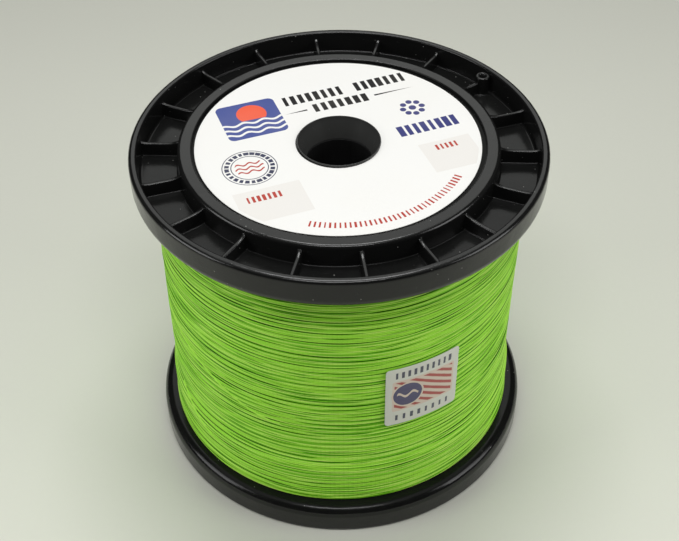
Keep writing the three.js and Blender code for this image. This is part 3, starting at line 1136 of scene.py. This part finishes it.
def side_sticker():
    """The square film, wrapped on the line and rippled a little by its turns."""
    outline = rounded_square(STICKER_SIZE, STICKER_CORNER)
    bevel = 0.05
    spread = [0.02, *(step / 14 for step in range(1, 14)), 0.985]
    rows = [(share, 0.0) for share in spread]
    rows += [(1.0, bevel), (1.0, STICKER_THICKNESS - bevel)]
    rows += [(share, STICKER_THICKNESS) for share in reversed(spread)]
    vertices = []
    for share, lift in rows:
        for across, upward in outline * share:
            angle = STICKER_CENTRE_ANGLE + across / STICKER_RADIUS
            ripple = 0.05 * math.sin(2.6 * upward + 0.15 * across) + 0.04 * math.sin(1.1 * upward)
            radius = STICKER_RADIUS + lift + ripple
            height = STICKER_CENTRE_HEIGHT + upward
            vertices.append((radius * math.cos(angle), radius * math.sin(angle), height))
    faces = grid_faces(len(rows), len(outline), capped=True)
    return new_object("sticker_film", vertices, faces, math.radians(50))


# Assembly

LOOKS = {
    "black_plastic": material("black_plastic", moulded_plastic),
    "tube_plastic": material("tube_plastic", tube_plastic),
    "braided_line": material("braided_line", braided_line),
    "label_paper": material("label_paper", label_paper),
    "foil_film": material("foil_film", foil_film),
}


def install(piece, slot, node):
    """Gives a piece the look of its material slot and ties it to the frame in place of a CAD node."""
    piece.data.materials.clear()
    piece.data.materials.append(LOOKS[slot])
    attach(piece, "root")
    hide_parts(node)


bottom_flange, top_flange = flanges()
install(bottom_flange, "black_plastic", "bottom_flange")
install(top_flange, "black_plastic", "top_flange")
drum_inner = DRUM_RADIUS - DRUM_WALL
drum = plain_tube("winding_drum_tube", drum_inner, DRUM_RADIUS, drum_low.z, drum_high.z)
install(drum, "tube_plastic", "winding_drum")
hub = plain_tube("hub_spindle_tube", BORE_RADIUS, HUB_RADIUS, hub_low.z, hub_high.z)
install(hub, "tube_plastic", "hub_tube")
for part in [*line_pack(), *crossing_turns()]:
    install(part, "braided_line", "line_pack")
install(top_label(), "label_paper", "top_label")
install(side_sticker(), "foil_film", "side_sticker")


# Stage, light and camera

FLOOR_REACH = 4000
CEILING_STRENGTH = 0.6
WINDOW_STRENGTH = 1.25
BACKDROP_STRENGTH = 0.32
CAMERA_BACK = 359.8
CAMERA_HEIGHT = 404.8
CAMERA_PITCH = 0.7461
CAMERA_ROLL = -0.0116
CAMERA_YAW = -0.0010
CAMERA_LENS = 61.72
CAMERA_SENSOR = 36


def floor_paper(graph):
    """Pale matt paper with a faint grain."""
    grain = graph.noise(position_mm(graph), 0.4, detail=3.0)
    return dict(Base_Color=graph.mix(grain, FLOOR_PALE, FLOOR_PALER), Roughness=0.8)


def stage():
    """The plain pale floor that the spool stands on."""
    corners = [(x * FLOOR_REACH, y * FLOOR_REACH, 0) for x, y in ((-1, -1), (1, -1), (1, 1), (-1, 1))]
    floor = new_object("floor", corners, [(0, 1, 2, 3)])
    floor.data.materials.append(material("floor_paper", floor_paper))


def soft_light(name, place_mm, size_mm, radiance, target_mm):
    """A rectangular lamp with the given radiance, aimed at a point."""
    lamp = bpy.data.lights.new(name, "AREA")
    lamp.shape = "RECTANGLE"
    lamp.size, lamp.size_y = size_mm[0] * MM, size_mm[1] * MM
    lamp.energy = radiance * math.pi * lamp.size * lamp.size_y
    made = link(name, lamp)
    made.location = Vector(place_mm) * MM
    aim = Vector(target_mm) - Vector(place_mm)
    made.rotation_euler = aim.to_track_quat("-Z", "Y").to_euler()


def studio_sky(graph):
    """Brightness of the room by direction: a pale ceiling and one window behind the spool. The camera
    sees an even grey backdrop in its place."""
    x, y, z = graph.split(graph.add("ShaderNodeTexCoord").outputs["Generated"])
    window = graph.between(graph.math("ABSOLUTE", x), 0.40, 0.34)
    for value, outside, inside in ((y, 0.0, 0.25), (z, 0.44, 0.50), (z, 0.88, 0.82)):
        window = graph.times(window, graph.between(value, outside, inside))
    lit = graph.times(graph.between(z, 0.80, 0.88), CEILING_STRENGTH)
    lit = graph.math("MULTIPLY_ADD", window, WINDOW_STRENGTH, lit)
    seen = graph.add("ShaderNodeLightPath").outputs["Is Camera Ray"]
    return graph.math("MULTIPLY_ADD", seen, graph.minus(BACKDROP_STRENGTH, lit), lit)


def studio():
    """A softbox above, one in front, one at each side, and the room's faint light."""
    soft_light("softbox_above", (0, 190, 880), (400, 220), 9.0, (0, 0, SPOOL_HEIGHT))
    soft_light("softbox_front", (0, -360, 820), (400, 120), 11.4, (0, 0, SPOOL_HEIGHT))
    for side in (-1, 1):
        soft_light("softbox_side", (side * 520, -160, 340), (300, 300), 3.8, (0, 0, 60))
    world = bpy.data.worlds.new("studio")
    bpy.context.scene.world = world
    world.use_nodes = True
    graph = Graph(world.node_tree)
    background = graph.add("ShaderNodeBackground", Color=SKY_WHITE, Strength=studio_sky(graph))
    graph.add("ShaderNodeOutputWorld", Surface=background.outputs[0])


def camera():
    """The camera at the photo's viewing angle."""
    data = bpy.data.cameras.new("camera")
    data.lens = CAMERA_LENS
    data.sensor_width = CAMERA_SENSOR
    data.clip_start, data.clip_end = 0.01, 20
    made = link("camera", data)
    tilt = Matrix.Rotation(math.pi / 2 - CAMERA_PITCH, 4, "X")
    turn = Matrix.Rotation(-CAMERA_YAW, 4, "Z")
    roll = Matrix.Rotation(CAMERA_ROLL, 4, "Z")
    place = Matrix.Translation(Vector((0, -CAMERA_BACK, CAMERA_HEIGHT)) * MM)
    made.matrix_world = place @ turn @ tilt @ roll
    bpy.context.scene.camera = made


stage()
studio()
camera()
bpy.context.scene.view_settings.view_transform = "Standard"
